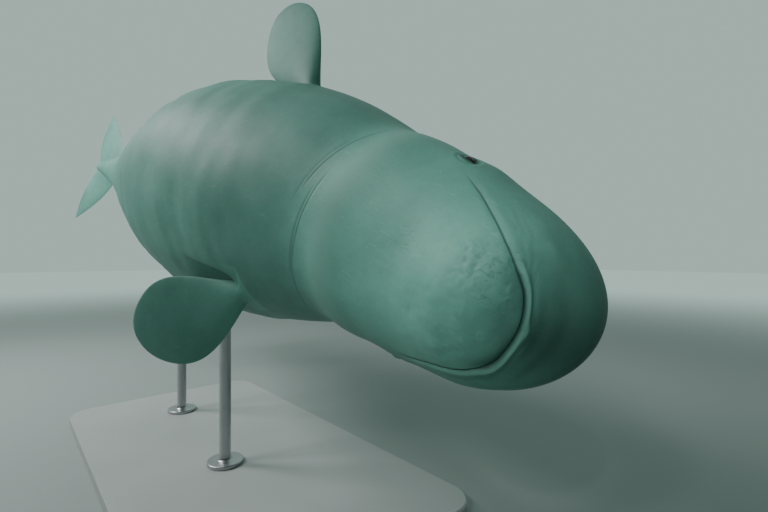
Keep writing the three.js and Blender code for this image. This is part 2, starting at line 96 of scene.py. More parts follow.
def through(rows, u, before=None):
    """Smooth curve through rows: the cubic whose slope at a row is half the step between its neighbours.

    The row before the first is given, or is the second mirrored in the first."""
    last = len(rows) - 1
    x = np.clip(u, 0, last - 1e-6)
    i = x.astype(int)
    t = (x - i)[..., None]
    b, c = rows[i], rows[i + 1]
    a = np.where((i > 0)[..., None], rows[np.maximum(i - 1, 0)], 2 * b - c if before is None else before)
    d = np.where((i + 2 <= last)[..., None], rows[np.minimum(i + 2, last)], 2 * c - b)
    square = 2 * a - 5 * b + 4 * c - d
    cube = 3 * b - a - 3 * c + d
    return 0.5 * (2 * b + (c - a) * t + square * t * t + cube * t ** 3)


def section_at(u):
    """The trunk's section at u, on the smooth curve through its rows."""
    return through(TRUNK_SECTIONS, u, TURNED_OVER)


def lip_angle(u, side):
    """Angle of the lip line from the crown: the curve through LIP_LINE at u, plus side times its lean."""
    row = through(LIP_LINE, np.minimum(u, len(LIP_LINE) - 1.0))
    return row[..., 0] + side * row[..., 1]


def section_middle(u):
    """Widest level of the section: the keel point plus its share of the way to the crown point."""
    q = section_at(u)
    return q[..., 2:4] + (q[..., 0:2] - q[..., 2:4]) * q[..., 5:6]


def trunk(u, v):
    """Middle plus cos v of the way to crown or keel, and half width times sin v to the side."""
    q = section_at(u)
    middle = section_middle(u)
    up = np.maximum(np.cos(v), 0)[..., None] * (q[..., 0:2] - middle)
    down = np.maximum(-np.cos(v), 0)[..., None] * (q[..., 2:4] - middle)
    side = middle + up + down
    return np.stack([side[..., 0], np.maximum(q[..., 4], 0) * np.sin(v), side[..., 1]], -1)


def spot(u, v):
    """One point of the trunk."""
    return trunk(np.array(u), np.array(v))


def unit(vectors):
    """Each vector over its length."""
    return vectors / np.maximum(np.linalg.norm(vectors, axis=-1, keepdims=True), 1e-12)


def trunk_normal(u, v):
    """Outward normal: the cross product of the steps of the trunk along u and along v."""
    along = trunk(u + 0.004, v) - trunk(np.maximum(u - 0.004, 0), v)
    around = trunk(u, v + 0.002) - trunk(u, v - 0.002)
    return unit(np.cross(along, around))


def draw_spine():
    """Sum of short steps along the back's direction, whose pitch and yaw ease in at neck and tail."""
    s = np.arange(SPINE_START, SPINE_END, SPINE_STEP)
    neck = 1 - ease(*NECK_BEND, s)
    tail = ease(*TAIL_BEND, s)
    pitch = HEAD_BOW * neck - TAIL_DROOP * tail - FLUKE_DROOP * ease(*FLUKE_BEND, s)
    yaw = -HEAD_TURN * neck - TAIL_TURN * tail
    back = np.stack([-np.cos(pitch) * np.cos(yaw), np.cos(pitch) * np.sin(yaw), np.sin(pitch)], 1)
    left = np.stack([np.sin(yaw), np.cos(yaw), 0 * yaw], 1)
    steps = np.vstack([np.zeros(3), (back[1:] + back[:-1]) * SPINE_STEP / 2])
    place = np.cumsum(steps, 0)
    fixed = round((SPINE_FIXED - SPINE_START) / SPINE_STEP)
    return s, place - place[fixed], left, np.cross(-back, left)


SPINE_S, SPINE_PLACE, SPINE_LEFT, SPINE_DORSAL = draw_spine()


def bend(points):
    """Spine point at s, plus y along its left and z along its dorsal direction."""
    s = points[..., 0]
    read = lambda rows: np.stack([np.interp(s, SPINE_S, rows[:, k]) for k in range(3)], -1)
    aside = points[..., 1:2] - SAG * bell(s, SAG_MIDDLE, SAG_HALF)[..., None]
    return read(SPINE_PLACE) + aside * read(SPINE_LEFT) + points[..., 2:3] * read(SPINE_DORSAL)


def set_in_pose(points):
    """Roll about the swimming direction, pitch nose down, and lift to the body's centre."""
    cr, sr = math.cos(ROLL_ONTO_LEFT), math.sin(ROLL_ONTO_LEFT)
    cp, sp = math.cos(NOSE_DOWN), math.sin(NOSE_DOWN)
    roll = np.array([[1, 0, 0], [0, cr, sr], [0, -sr, cr]])
    pitch = np.array([[cp, 0, sp], [0, 1, 0], [-sp, 0, cp]])
    return points @ (pitch @ roll).T + BODY_CENTRE


def soft_noise(points, size, seed, waves=28):
    """Mean of sine waves in seeded random directions, about as long as size: between -1 and 1."""
    draw = np.random.default_rng(seed)
    heading = unit(draw.normal(size=(waves, 3)))
    length = size * draw.uniform(0.7, 1.5, waves)
    phase = draw.uniform(0, 2 * math.pi, waves)
    total = np.zeros(points.shape[:-1])
    for k in range(waves):
        total += np.sin(points @ (heading[k] * 2 * math.pi / length[k]) + phase[k])
    return total * math.sqrt(2 / waves) * 0.5


# Lips, folds and marks in the skin. The lips part on a thin line of painted shade below a rolled upper lip,
# and blubber wrinkles where the neck turns. Each form is a height over the trunk in mm, and a dark and a
# pale share go with it: the dark share is mostly painted shade in folds, hollows and slits, on the melon
# and across the torso, with a few dark marks, and the pale share is a painted highlight on the lip and neck
# rolls.

def from_lips(u, v):
    """Distance to the lip line in mm: section radius times the sine of the angle from the line."""
    point = trunk(u, v)
    middle = section_middle(u)
    radius = 1000 * np.sqrt((point[..., 0] - middle[..., 0]) ** 2 + point[..., 1] ** 2
                            + (point[..., 2] - middle[..., 1]) ** 2)
    turn = np.clip(np.abs(v) - lip_angle(u, np.sign(v)), -math.pi / 2, math.pi / 2)
    return radius * np.sin(turn)


def keel_turn(v):
    """Angle from the keel in degrees, positive on the animal's left."""
    wrapped = (v + math.pi) % (2 * math.pi) - math.pi
    return np.where(wrapped >= 0, 180 - np.degrees(wrapped), -180 - np.degrees(wrapped))


def away_from(point, u, turn):
    """Distance in mm from the trunk's point at u and at an angle from the keel."""
    v = math.radians(180 - turn if turn > 0 else -180 - turn)
    return 1000 * np.linalg.norm(point - spot(u, v), axis=-1)


def lip_forms(u, v, lip, **_):
    """Groove, roll and dip: bells of the distance from the lip line, stronger at the nose end, with painted
    shade in the groove and the dip and a painted highlight on the roll.
    """
    mouth = 1 - ease(MOUTH_CORNER - 0.5, MOUTH_CORNER + 0.25, u)
    tip = 1 - ease(2.0, np.where(v > 0, 6.0, 3.4), u)
    groove = -(2.6 + 2.6 * tip) * bell(lip, 0, 2.0 + 0.8 * tip) - 1.0 * bell(lip, 0, 9)
    roll = (0.8 + 3.2 * tip) * bell(lip, -13, 8) + 0.8 * (1 - tip) * bell(lip, 10, 8)
    dip = -2.8 * tip * bell(lip, -31, 10)
    # painted shade: a dark line in the groove and a little in the dip; painted highlight: a pale band on the
    # rolled upper lip
    dark = (0.75 + 0.25 * tip) * bell(lip, 0, 1.9 + 0.5 * tip) + 0.12 * tip * bell(lip, -31, 9)
    pale = (0.08 + 0.30 * tip) * bell(lip, -12, 7)
    return mouth * (groove + roll + dip), mouth * dark, mouth * pale


def melon_forms(u, v, point, lip, **_):
    """Ridge along the upper lip with rays across it, and painted shade over the front of the melon, by a
    bell of the angle.
    """
    front = ease(1.0, 2.2, u) * (1 - ease(4.8, 6.0, u))
    rays = np.sin(np.degrees(v) * 0.9 + 3 * soft_noise(point, 0.05, 11))
    height = front * (2.8 * bell(lip, -80, 20) + 0.5 * bell(lip, -40, 17) * rays)
    # painted shade over the front of the melon, centred a little to the animal's left
    dark = 0.74 * bell(np.degrees(v), 13, 49) * ease(0.6, 1.6, u) * (1 - ease(4.5, 6.5, u))
    return height, dark, 0


# small pits on the chin: u, angle from the keel, reach and depth in mm
CHIN_PITS = [(4.26, -52, 5, 1.6), (3.41, -58, 4, 2.0), (3.2, -50, 5, 1.4), (2.81, -60, 5, 1.8),
             (2.16, -51, 6, 1.6), (2.41, -23, 4, 1.6), (0.9, -39, 5, 1.2), (3.7, -40, 4, 1.4),
             (2.9, -42, 5, 1.5), (2.5, -35, 4, 1.2), (3.9, -62, 4, 1.2), (2.3, 20, 4, 1.2),
             (2.2, 28, 4, 1.2), (1.6, -20, 5, 1.0), (3.0, 5, 6, 1.0), (4.6, -30, 6, 1.2)]


def chin_forms(u, point, y, lip, turn, **_):
    """Noise of three sizes, a soft boss, an end pressed flat with painted shade on it, and a bell for each
    small pit, with painted shade in the pits.
    """
    chin = ease(0.3, 1.2, u) * (1 - ease(4.6, 6.2, u)) * ease(2, 14, lip)
    pitted = soft_noise(point, 0.014, 23) * ease(-0.3, 0.7, soft_noise(point, 0.07, 24))
    pitted *= 0.15 + 0.85 * bell(turn, -48, 26) * ease(1.2, 2.2, u)
    uneven = 0.30 * soft_noise(point, 0.022, 21) + 0.9 * soft_noise(point, 0.055, 22)
    height = chin * (uneven + 1.6 * pitted) + 3.5 * bell(away_from(point, 2.9, -16), 0, 40)
    # painted shade in the hollows of the pitted noise
    dark = chin * 0.22 * ease(0.2, 0.9, -pitted)
    end = 1 - ease(1.8, 3.4, u)
    height -= 8.0 * end * bell(lip, 0, 32) * ease(-3, 3, lip)
    # painted shade on the flattened end of the chin, darker towards the animal's left
    dark += (0.28 + 0.30 * ease(-30, 30, y)) * end * bell(lip, 9, 27) * ease(0, 8, lip)
    # each pit sinks in and takes painted shade
    for pit_u, pit_turn, reach, depth in CHIN_PITS:
        away = away_from(point, pit_u, pit_turn)
        height -= 0.6 * depth * bell(away, 0, reach)
        dark += 0.12 * depth * bell(away, 0, 0.8 * reach)
    return height, dark, 0


def cheek_forms(u, point, s, turn, **_):
    """A shallow dip in the cheek, and a hollow under the throat with painted shade in it and faint sine
    wrinkles.
    """
    cheek = bell(u, 7.1, 0.55) * bell(turn, -58, 15)
    hollow = bell(u, 6.05, 0.62) * bell(turn, -14, 26)
    wrinkles = np.sin(turn * 1.15 + s / 60 + 2.2 * soft_noise(point, 0.09, 3))
    # painted shade in the hollow under the throat
    return (0.35 * wrinkles - 4.0) * hollow - 6 * cheek, 0.16 * hollow, 0


# thin neck creases: the angles from the keel where each starts and ends, u at each end, and strength
NECK_LINES = [(-64, -17, 8.70, 8.99, 1.0), (-52, -10, 8.86, 9.08, 0.6), (-27, 24, 8.70, 8.96, 1.0),
              (-19, 32, 8.80, 9.06, 0.8), (12, 60, 8.93, 9.13, 0.7), (-98, -62, 8.60, 8.71, 0.4)]
NECK_LINE_HALF = 0.015


def neck_forms(u, s, turn, off_back, **_):
    """Thin lines whose u runs evenly with the angle, a hollow and a roll; painted shade in the lines and
    behind the roll, a painted shadow of the upper flipper across the torso, and a painted highlight on the
    roll.
    """
    lines = 0
    for start, end, u_start, u_end, strength in NECK_LINES:
        share = (turn - start) / (end - start)
        fade = ease(-0.10, 0.12, share) * (1 - ease(0.85, 1.12, share))
        lines += strength * bell(u, u_start + (u_end - u_start) * share, NECK_LINE_HALF) * fade
    lines = np.minimum(lines, 1.1)
    height = -1.3 * lines - 6.5 * bell(u, 8.92, 0.42) + 5.5 * bell(u, 8.30, 0.42)
    # painted shade in the crease lines, a painted shadow of the upper flipper across the torso, and painted
    # shade behind the neck roll
    dark = 0.34 * lines + 0.34 * bell(s, 720, 220) + 0.10 * bell(u, 9.30, 0.35)
    # painted highlight along the neck roll
    return off_back * height, off_back * dark, off_back * 0.60 * bell(u, 8.25, 0.36)


def body_forms(v, point, s, y, turn, off_back, **_):
    """Rolls of blubber as two drifting sine waves, soft unevenness, and a notched ridge along the back."""
    rolls = off_back * ease(720, 900, s) * (1 - ease(1750, 2300, s))
    drift = 1.6 * soft_noise(point, 0.8, 5)
    wide = 1.7 * np.sin(s / 38 + turn / 30 + drift)
    narrow = 0.6 * np.sin(s / 17 - turn / 44 - 2 * drift)
    height = rolls * (wide + narrow)
    height += 2.2 * soft_noise(point, 0.34, 7) * ease(500, 1000, s) * (1 - ease(3000, 3600, s))
    height += 1.1 * soft_noise(point, 0.12, 8) * ease(60, 200, s) * (1 - ease(3200, 3700, s))
    ridge = ease(1850, 2100, s) - ease(2400, 2750, s)
    ridge = ridge * np.where(np.cos(v) > 0, bell(y, 0, 22), 0)
    return height + 14 * ridge * (1 + 0.12 * np.sin(s / 16)), 0.18 * ridge, 0


def opening_forms(v, s, y, turn, **_):
    """Sunken bells and bars with painted shade in them: navel, slit and vent on the keel, and the curved
    slot of the blowhole.
    """
    navel = bell(s, 1950, 16) * bell(turn, 0, 1.6)
    slit = bell(turn, 0, 0.9) * (ease(2480, 2500, s) - ease(2660, 2690, s))
    vent = bell(s, 2790, 20) * bell(turn, 0, 1.6)
    keel_marks = navel + slit + vent
    across = np.where(np.cos(v) > 0, y, 200.0)
    arc = 455 - 16 * (across / 31) ** 2
    slot = bell(s, arc, 4.5) * (1 - ease(26, 34, np.abs(across)))
    mound = bell(s, 455, 30) * bell(across, 0, 38)
    # painted shade in the navel, slit, vent and blowhole slot
    return 3.0 * mound - 6 * keel_marks - 9 * slot, 0.5 * keel_marks + 0.9 * slot, 0


def skin_forms(u, v):
    """Sum of the height in mm, the dark share and the pale share of every form."""
    point = trunk(u, v)
    turn = keel_turn(v)
    at = {"u": u, "v": v, "point": point, "s": point[..., 0] * 1000, "y": point[..., 1] * 1000,
          "lip": from_lips(u, v), "turn": turn, "off_back": ease(40, 110, np.abs(180 - np.abs(turn)))}
    forms = (lip_forms, melon_forms, chin_forms, cheek_forms, neck_forms, body_forms, opening_forms)
    height, dark, pale = (sum(parts) for parts in zip(*(form(**at) for form in forms)))
    return height, np.clip(dark, 0, 1), np.clip(pale, 0, 1)


BROW_U, BROW_ANGLE, BROW_HEIGHT, BROW_HALF = 7.0, math.radians(82.0), 7, 0.048


def brow(points):
    """Bump over each eye: a bell of the distance from its middle."""
    near = [np.linalg.norm(points - spot(BROW_U, side * BROW_ANGLE), axis=-1) for side in (1, -1)]
    return BROW_HEIGHT * (bell(near[0], 0, BROW_HALF) + bell(near[1], 0, BROW_HALF))


def skin(u, v):
    """Trunk point pushed out by its forms; returns place, dark share and pale share."""
    height, dark, pale = skin_forms(u, v)
    base = trunk(u, v)
    height = height + brow(base)
    return base + trunk_normal(u, v) * height[..., None] / 1000, dark, pale


# The net of the skin: rows run round the body and columns along it. Columns crowd at the lips and
# rows at the neck, the flippers and the flukes. Windows in the net take the eyes, flippers and flukes.

UPPER_COLUMNS, LOWER_COLUMNS = 57, 46
# mm from the lip line to each crowded column, up and down, and the most that one step may turn
LIP_STEPS = np.array([1.2, 2.5, 4, 5.5, 7, 9, 11, 13.5, 16, 19, 22, 25.5, 29, 33, 37, 41, 45, 50, 55, 60])
CHIN_STEPS = np.array([1.2, 2.5, 4, 5.5, 7, 9, 11.5, 14, 17, 20, 24, 28])
STEP_TURN = np.radians(2.2)
EVEN_FROM = 9


def column_angles(u):
    """Angles for each row: steps in mm over the radius near the lips, then even ones to crown or keel."""
    radius = 1000 * np.maximum(section_at(u)[:, 4], 0.001)[:, None]
    even = ease(MOUTH_CORNER, EVEN_FROM, u)[:, None]

    def one_way(steps, count, room):
        """Crowded angles, then the rest of the room in equal parts; all in equal parts where even is 1."""
        near = np.minimum(steps / radius, STEP_TURN * np.arange(1, len(steps) + 1))
        rest = np.arange(1, count - len(steps) + 1) / (count - len(steps))
        crowded = np.hstack([near, near[:, -1:] + (room - near[:, -1:]) * rest])
        return crowded * (1 - even) + even * room * np.arange(1, count + 1) / count

    def half_ring(side):
        """Angles from crown to keel on one side: above the lips, on them and below."""
        lips = lip_angle(u, side)[:, None]
        above = lips - one_way(LIP_STEPS, UPPER_COLUMNS, lips)
        below = lips + one_way(CHIN_STEPS, LOWER_COLUMNS, math.pi - lips)
        return np.hstack([above[:, ::-1], lips, below])

    return np.hstack([half_ring(1), -half_ring(-1)[:, -2:0:-1]])


# first u of each stretch of the net, the next stretch's first u, and the step between rows
ROW_STRETCHES = [(0.35, 4.55, 0.06), (4.55, 8.2, 0.08), (8.2, 8.62, 0.042), (8.62, 9.16, 0.0125),
                 (9.16, 10.2, 0.065), (10.2, 11.8, 0.036), (11.8, 17.6, 0.11), (17.6, 20.4, 0.045),
                 (20.4, 20.96, 0.08)]
ROW_U = np.concatenate([[0.02, 0.05, 0.09, 0.14, 0.20, 0.27]]
                       + [np.arange(start, end - 1e-9, step) for start, end, step in ROW_STRETCHES]
                       + [[20.985]])
NET_V = column_angles(ROW_U)
NET_U = np.repeat(ROW_U[:, None], NET_V.shape[1], 1)
ROW_COUNT, COLUMN_COUNT = NET_V.shape
# dark share at the nose tip, where the painted shade of the lip groove meets, and at the tail tip
NOSE_DARK, TAIL_DARK = 0.9, 0.1

place, dark, pale = skin(NET_U, NET_V)
nose_tip = skin(np.full(8, 0.002), np.arange(8) * math.pi / 4)[0].mean(0, keepdims=True)
tail_tip = trunk(np.array([TAIL_END - 1e-5]), np.array([0.0]))
skin_points = [nose_tip, place.reshape(-1, 3), tail_tip]
skin_dark = [[NOSE_DARK], dark.ravel(), [TAIL_DARK]]
skin_pale = [[0.0], pale.ravel(), [0.0]]
skin_bent = [np.zeros(2 + dark.size, bool)]
open_cells = np.ones((ROW_COUNT - 1, COLUMN_COUNT), bool)
skin_faces = []


def net_index(row, column):
    """Place in the point list of a crossing of the net."""
    return 1 + row * COLUMN_COUNT + column % COLUMN_COUNT


def cut_window(u_low, u_high, v_low, v_high):
    """Leave out the cells in a range of u and v; returns its edge crossings in order, and their u and v."""
    top = int(np.searchsorted(ROW_U, u_low))
    bottom = int(np.searchsorted(ROW_U, u_high))
    wrapped = (NET_V[(top + bottom) // 2] + 2 * math.pi) % (2 * math.pi)
    inside = np.nonzero((wrapped >= v_low % (2 * math.pi)) & (wrapped <= v_high % (2 * math.pi)))[0]
    first, last = int(inside[0]), int(inside[-1])
    open_cells[top:bottom, first:last] = False
    rows = np.concatenate([np.full(last - first, top), np.arange(top, bottom),
                           np.full(last - first, bottom), np.arange(bottom, top, -1)])
    columns = np.concatenate([np.arange(first, last), np.full(bottom - top, last),
                              np.arange(last, first, -1), np.full(bottom - top, first)])
    return net_index(rows, columns), ROW_U[rows], NET_V[rows, columns]


def add_rings(edge, rings, end, ring_dark, ring_pale, bent=False):
    """Join rings of points to the edge of a window, ring by ring, and close the last on one point."""
    count = len(edge)
    known = sum(len(points) for points in skin_points)
    own = known + np.arange(len(rings) * count).reshape(len(rings), count)
    chain = np.vstack([edge[None], own])
    here, there = chain[:-1], chain[1:]
    band = np.stack([here, np.roll(here, -1, 1), np.roll(there, -1, 1), there], -1)
    tip = np.full(count, known + own.size)
    skin_faces.extend([band.reshape(-1, 4), np.stack([chain[-1], np.roll(chain[-1], -1), tip, tip], -1)])
    skin_points.extend([rings.reshape(-1, 3), end.reshape(1, 3)])
    skin_dark.extend([ring_dark.ravel(), [float(ring_dark[-1].mean())]])
    skin_pale.extend([ring_pale.ravel(), [float(ring_pale[-1].mean())]])
    skin_bent.append(np.full(own.size + 1, bent))


# Eyes: dark, glossy and small for the head, each in an almond opening. Two rolled lids of skin lie on
# the ball, with a groove round them and a faint roll outside it. The lid rims are dark, partly the lids'
# own dark skin and partly painted shade, and the groove and the socket behind the ball take painted shade.

EYE_U, EYE_V = 7.15, math.radians(95)
EYE_BALL, EYE_PROUD = 0.021, 0.0045
EYE_OPEN = np.array([0.0175, 0.0098])
EYE_PINCH = 0.28
EYE_WINDOW_U, EYE_WINDOW_V, EYE_RINGS = 0.52, 0.23, 22
# height of each roll or groove of the lids, how far outside the opening it lies, and its half width
LID_ROLLS = [(0.0009, 0.0050, 0.0035), (-0.0009, 0.0120, 0.0035), (0.0010, 0.0190, 0.0050)]
# the lid settles onto the ball within this reach, and lies this far off it; the skin goes on behind
LID_SETTLE, LID_THICK, LID_UNDER = 0.0075, 0.0012, 0.0008
# the socket behind the ball: share of the opening, depth, end point, and the painted shade inside it
SOCKET_SHARE, SOCKET_DEPTH, SOCKET_END, SOCKET_PAINTED_SHADE = 0.6, 0.010, 0.012, 0.8


def eye_axes(side):
    """Middle of the eye on the trunk, and its directions: back, up round the head, and out."""
    u, v = np.array(EYE_U), np.array(side * EYE_V)
    middle, out = skin(u, v)[0], trunk_normal(u, v)
    back = spot(u + 0.01, v) - spot(u, v)
    back = unit(back - out * (back @ out))
    return middle, back, np.cross(out, back), out


def lid_edge(turn):
    """Almond outline: an ellipse pinched towards its corners."""
    x = EYE_OPEN[0] * np.cos(turn)
    y = EYE_OPEN[1] * np.sin(turn) * (1 - EYE_PINCH * np.cos(turn) ** 2)
    return np.stack([x, y], -1)


def add_eye(side):
    """Rings from the window's edge in to the lid edge, down onto the ball, and closed behind it."""
    eye_v = side * EYE_V
    window, u, v = cut_window(EYE_U - EYE_WINDOW_U, EYE_U + EYE_WINDOW_U, eye_v - EYE_WINDOW_V,
                              eye_v + EYE_WINDOW_V)
    middle, back, up, out = eye_axes(side)
    step, here = 0.01, spot(EYE_U, eye_v)
    along_u = (spot(EYE_U + step, eye_v) - here) / step
    along_v = (spot(EYE_U, eye_v + step) - here) / step
    reach_u, reach_v, skew = along_u @ back, along_v @ up, along_v @ back
    flat = np.stack([(u - EYE_U) * reach_u + (v - eye_v) * skew, (v - eye_v) * reach_v], -1)
    edge = lid_edge(np.arctan2(flat[:, 1], flat[:, 0]))
    inward = 1 - (1 - np.linspace(0, 1, EYE_RINGS + 1)[1:, None, None]) ** 1.7
    spread = flat * (1 - inward) + edge * inward
    ring_v = eye_v + spread[..., 1] / reach_v
    ring_u = EYE_U + (spread[..., 0] - spread[..., 1] * skew / reach_v) / reach_u
    rings, ring_dark, ring_pale = skin(ring_u, ring_v)
    gap = np.linalg.norm(spread - edge, axis=-1)
    lid = sum(height * bell(gap, away, half) for height, away, half in LID_ROLLS)
    ball_top = np.sqrt(np.maximum(EYE_BALL ** 2 - (edge ** 2).sum(-1), 0)) - EYE_BALL + EYE_PROUD
    sink = ball_top + LID_THICK - (rings - middle) @ out
    settle = bell(gap, 0, LID_SETTLE)
    rings = rings + trunk_normal(ring_u, ring_v) * (lid * (1 - settle) + sink * settle)[..., None]
    # lid rims darken along the opening, partly the lids' own dark skin and partly painted shade; the groove
    # round them takes a little painted shade
    ring_dark = ring_dark + 1.6 * bell(gap, 0, 0.0065) + 0.08 * bell(gap, 0.0125, 0.0030)
    across, level = edge[:, :1] * back, edge[:, 1:] * up
    on_ball = middle + 0.97 * (across + level) + (ball_top - LID_UNDER)[:, None] * out
    behind = middle + SOCKET_SHARE * (across + level) - SOCKET_DEPTH * out
    # painted shade inside the socket behind the ball
    socket = np.full((2, len(window)), SOCKET_PAINTED_SHADE)
    add_rings(window, np.concatenate([rings, on_ball[None], behind[None]]), middle - SOCKET_END * out,
              np.vstack([ring_dark, socket]), np.vstack([ring_pale, 0 * socket]))


add_eye(1)
add_eye(-1)


# Flippers and flukes: stiff paddles of skin and blubber over bone or sinew, each grown out of the
# trunk with a smooth fillet. A limb is a rounded blade, and its first rings leave the trunk flat on
# the skin and turn out along the blade.

FLIPPER = {"length": 0.395, "lean": 0.012, "root_lead": 0.058, "root_trail": 0.024, "lead": 0.182,
           "trail": 0.148, "growth": 0.77, "root_thick": 0.056, "tip_thick": 0.024, "sunk": 0.030}
FLIPPER_POSES = {
    1: {"s": 0.900, "angle": 132, "sweep": 43, "droop": 44, "twist": -58},
    -1: {"s": 1.030, "angle": 86, "sweep": 42, "droop": 5, "twist": -13},
}
# window round the root: u before and after it and v to each side; and how far the blade stands clear
FLIPPER_WINDOW = {"before": 0.50, "after": 0.62, "beside": 0.30, "clear": 0.016, "shade": 0.02}
FLUKE = {"span": 0.450, "front": 3.560, "notch": 3.900, "sweep": 0.385, "tip": 4.020, "bulge": 0.045,
         "thick": 0.050, "tip_thick": 0.012, "roll": math.radians(14)}
# window along the tail stock: from and to which s, v to each side; root's middle, half length and gap
FLUKE_WINDOW = {"from": 3.535, "to": 3.893, "beside": 0.5, "middle": 3.73, "half": 0.18, "clear": 0.018,
                "shade": 0.15}


def station_at(s):
    """The u whose section middle lies at s, read off a fine table."""
    u = np.linspace(0, TAIL_END, 4000)
    middles = np.maximum.accumulate(section_middle(u)[:, 0])
    return float(np.interp(s, middles, u))


def blade_section(around, thick):
    """Share across the chord, and height: cosine and the 1.4th power of sine, thinner at the rear."""
    across = np.cos(around)
    rise = np.sign(np.sin(around)) * np.abs(np.sin(around)) ** 1.4
    return across, rise * thick / 2 * (0.93 + 0.07 * across)


def between(sizes, first, last, share):
    """One size plus a share of the way to another."""
    return sizes[first] + (sizes[last] - sizes[first]) * share


def flipper_place(side, out, around):
    """Bent trunk point of the root, plus the way along, across and up the paddle."""
    pose = FLIPPER_POSES[side]
    sweep, droop, twist = (math.radians(pose[k]) for k in ("sweep", "droop", "twist"))
    along = np.array([-math.sin(sweep), side * math.cos(sweep) * math.cos(droop),
                      -math.cos(sweep) * math.sin(droop)])
    flat = unit(np.array([1.0, 0, 0]) - along * along[0])
    normal = np.cross(along, flat) * side
    lead = flat * math.cos(twist) + normal * math.sin(twist)
    up = np.cross(along, lead) * side
    root = bend(spot(station_at(pose["s"]), side * math.radians(pose["angle"]))) - FLIPPER["sunk"] * along
    x = np.clip(out / FLIPPER["length"], 0, 1)
    grown = np.sin(math.pi / 2 * np.minimum(x / FLIPPER["growth"], 1))
    lean = FLIPPER["lean"] * x ** 1.5
    front = between(FLIPPER, "root_lead", "lead", grown) * np.sqrt(1 - x ** 2.9)
    rear = between(FLIPPER, "root_trail", "trail", grown ** 1.3) * np.sqrt(1 - x ** 3)
    thick = between(FLIPPER, "root_thick", "tip_thick", x ** 0.8)
    across, rise = blade_section(around, thick * np.sqrt(1 - x ** 5))
    chord = lean + (front - rear) / 2 + (front + rear) / 2 * across
    return root + out[..., None] * along + chord[..., None] * lead + rise[..., None] * up


def fluke_place(side, out, around):
    """Bent point of a swept blade: out is the share of the span, around turns about the chord."""
    t = np.clip(out, 0, 1)
    front = FLUKE["front"] + FLUKE["sweep"] * t ** 1.7
    rear = between(FLUKE, "notch", "tip", t) + FLUKE["bulge"] * np.sin(math.pi * t)
    thick = between(FLUKE, "thick", "tip_thick", t ** 0.7)
    across, rise = blade_section(around, thick * np.sqrt(np.maximum(1 - t ** 6, 0)))
    s = (front + rear) / 2 - (rear - front) / 2 * np.sqrt(np.maximum(1 - t ** 4, 0)) * across
    y = side * t * FLUKE["span"]
    cr, sr = math.cos(FLUKE["roll"]), math.sin(FLUKE["roll"])
    return bend(np.stack([s, y * cr + rise * sr, rise * cr - y * sr], -1))


def height_over_trunk(points, u, v):
    """Height over the tangent plane at (u, v), with the fall of the trunk's curve given back."""
    here = bend(spot(u, v))
    back = unit(bend(spot(u + 0.01, v)) - here)
    out = unit(np.cross(back, bend(spot(u, v + 0.01)) - here))
    round_way = np.cross(out, back)
    fall = lambda p, way: -2 * ((p - here) @ out) / ((p - here) @ way) ** 2
    curve_s = fall(bend(spot(u + 0.4, v)), back)
    curve_v = fall(bend(spot(u, v + 0.4)), round_way)
    d = points - here
    return d @ out + curve_s * (d @ back) ** 2 / 2 + curve_v * (d @ round_way) ** 2 / 2


def smooth_ring(values, passes=10):
    """Mean of each value and its neighbours round the ring, repeated."""
    for _ in range(passes):
        values = (np.roll(values, 1) + 2 * values + np.roll(values, -1)) / 4
    return values


def add_limb(window, place_at, start, tip, around, fillet_rings, blade_rings, shade):
    """Cubics with given end slopes from the window's edge to the blade, then the rings of the blade."""
    index, u, v = window
    edge = bend(skin(u, v)[0])
    small = 0.004
    step_u = bend(trunk(u + small, v)) - bend(trunk(u - small, v))
    step_v = bend(trunk(u, v + small)) - bend(trunk(u, v - small))
    normal = unit(np.cross(step_u, step_v))
    first = place_at(start, around)
    outward = unit(place_at(start + small, around) - first)
    way = first - edge
    length = np.linalg.norm(way, axis=-1, keepdims=True)
    leave = unit(way - normal * (way * normal).sum(-1, keepdims=True)) * length
    t = np.linspace(0, 1, fillet_rings + 1)[1:, None, None]
    fillet = ((2 * t ** 3 - 3 * t ** 2 + 1) * edge + (t ** 3 - 2 * t ** 2 + t) * leave
              + (3 * t ** 2 - 2 * t ** 3) * first + (t ** 3 - t ** 2) * outward * length)
    share = np.sin(math.pi / 2 * np.linspace(0, 1, blade_rings + 1)[1:])[:, None]
    out = start + (tip - start) * share
    blade = place_at(out, np.repeat(around[None], blade_rings, 0))
    rings = np.concatenate([fillet, blade])
    inner = np.zeros(rings.shape[:2])
    inner[fillet_rings:] = shade * ease(0.1, 0.9, share)
    add_rings(index, rings, blade[-1].mean(0), inner, 0 * inner, bent=True)


def add_flipper(side):
    """Window round the root, blade started where each of its lines stands clear of the trunk."""
    pose, room = FLIPPER_POSES[side], FLIPPER_WINDOW
    root_u, root_v = station_at(pose["s"]), side * math.radians(pose["angle"])
    window = cut_window(root_u - room["before"], root_u + room["after"], root_v - room["beside"],
                        root_v + room["beside"])
    edge = bend(trunk(*window[1:]))
    lead, trail = flipper_place(side, np.array([0.06, 0.06]), np.array([0.0, math.pi]))
    far, near = flipper_place(side, np.array([0.10, 0.05]), np.array([0.0, 0.0]))
    chord = unit(lead - trail)
    up = np.cross(unit(far - near), chord) * side
    d = edge - edge.mean(0)
    around = np.arctan2(d @ up / np.abs(d @ up).max(), d @ chord / np.abs(d @ chord).max())
    tries = np.linspace(0.0, 0.30, 121)[:, None]
    lines = flipper_place(side, np.repeat(tries, len(around), 1), np.repeat(around[None], len(tries), 0))
    clear = height_over_trunk(lines, root_u, root_v) > room["clear"]
    start = tries[np.argmax(np.flip(np.minimum.accumulate(np.flip(clear, 0), 0), 0), 0), 0]
    add_limb(window, lambda out, turn: flipper_place(side, out, turn), smooth_ring(start),
             FLIPPER["length"] * 0.9995, around, 12, 40, room["shade"])


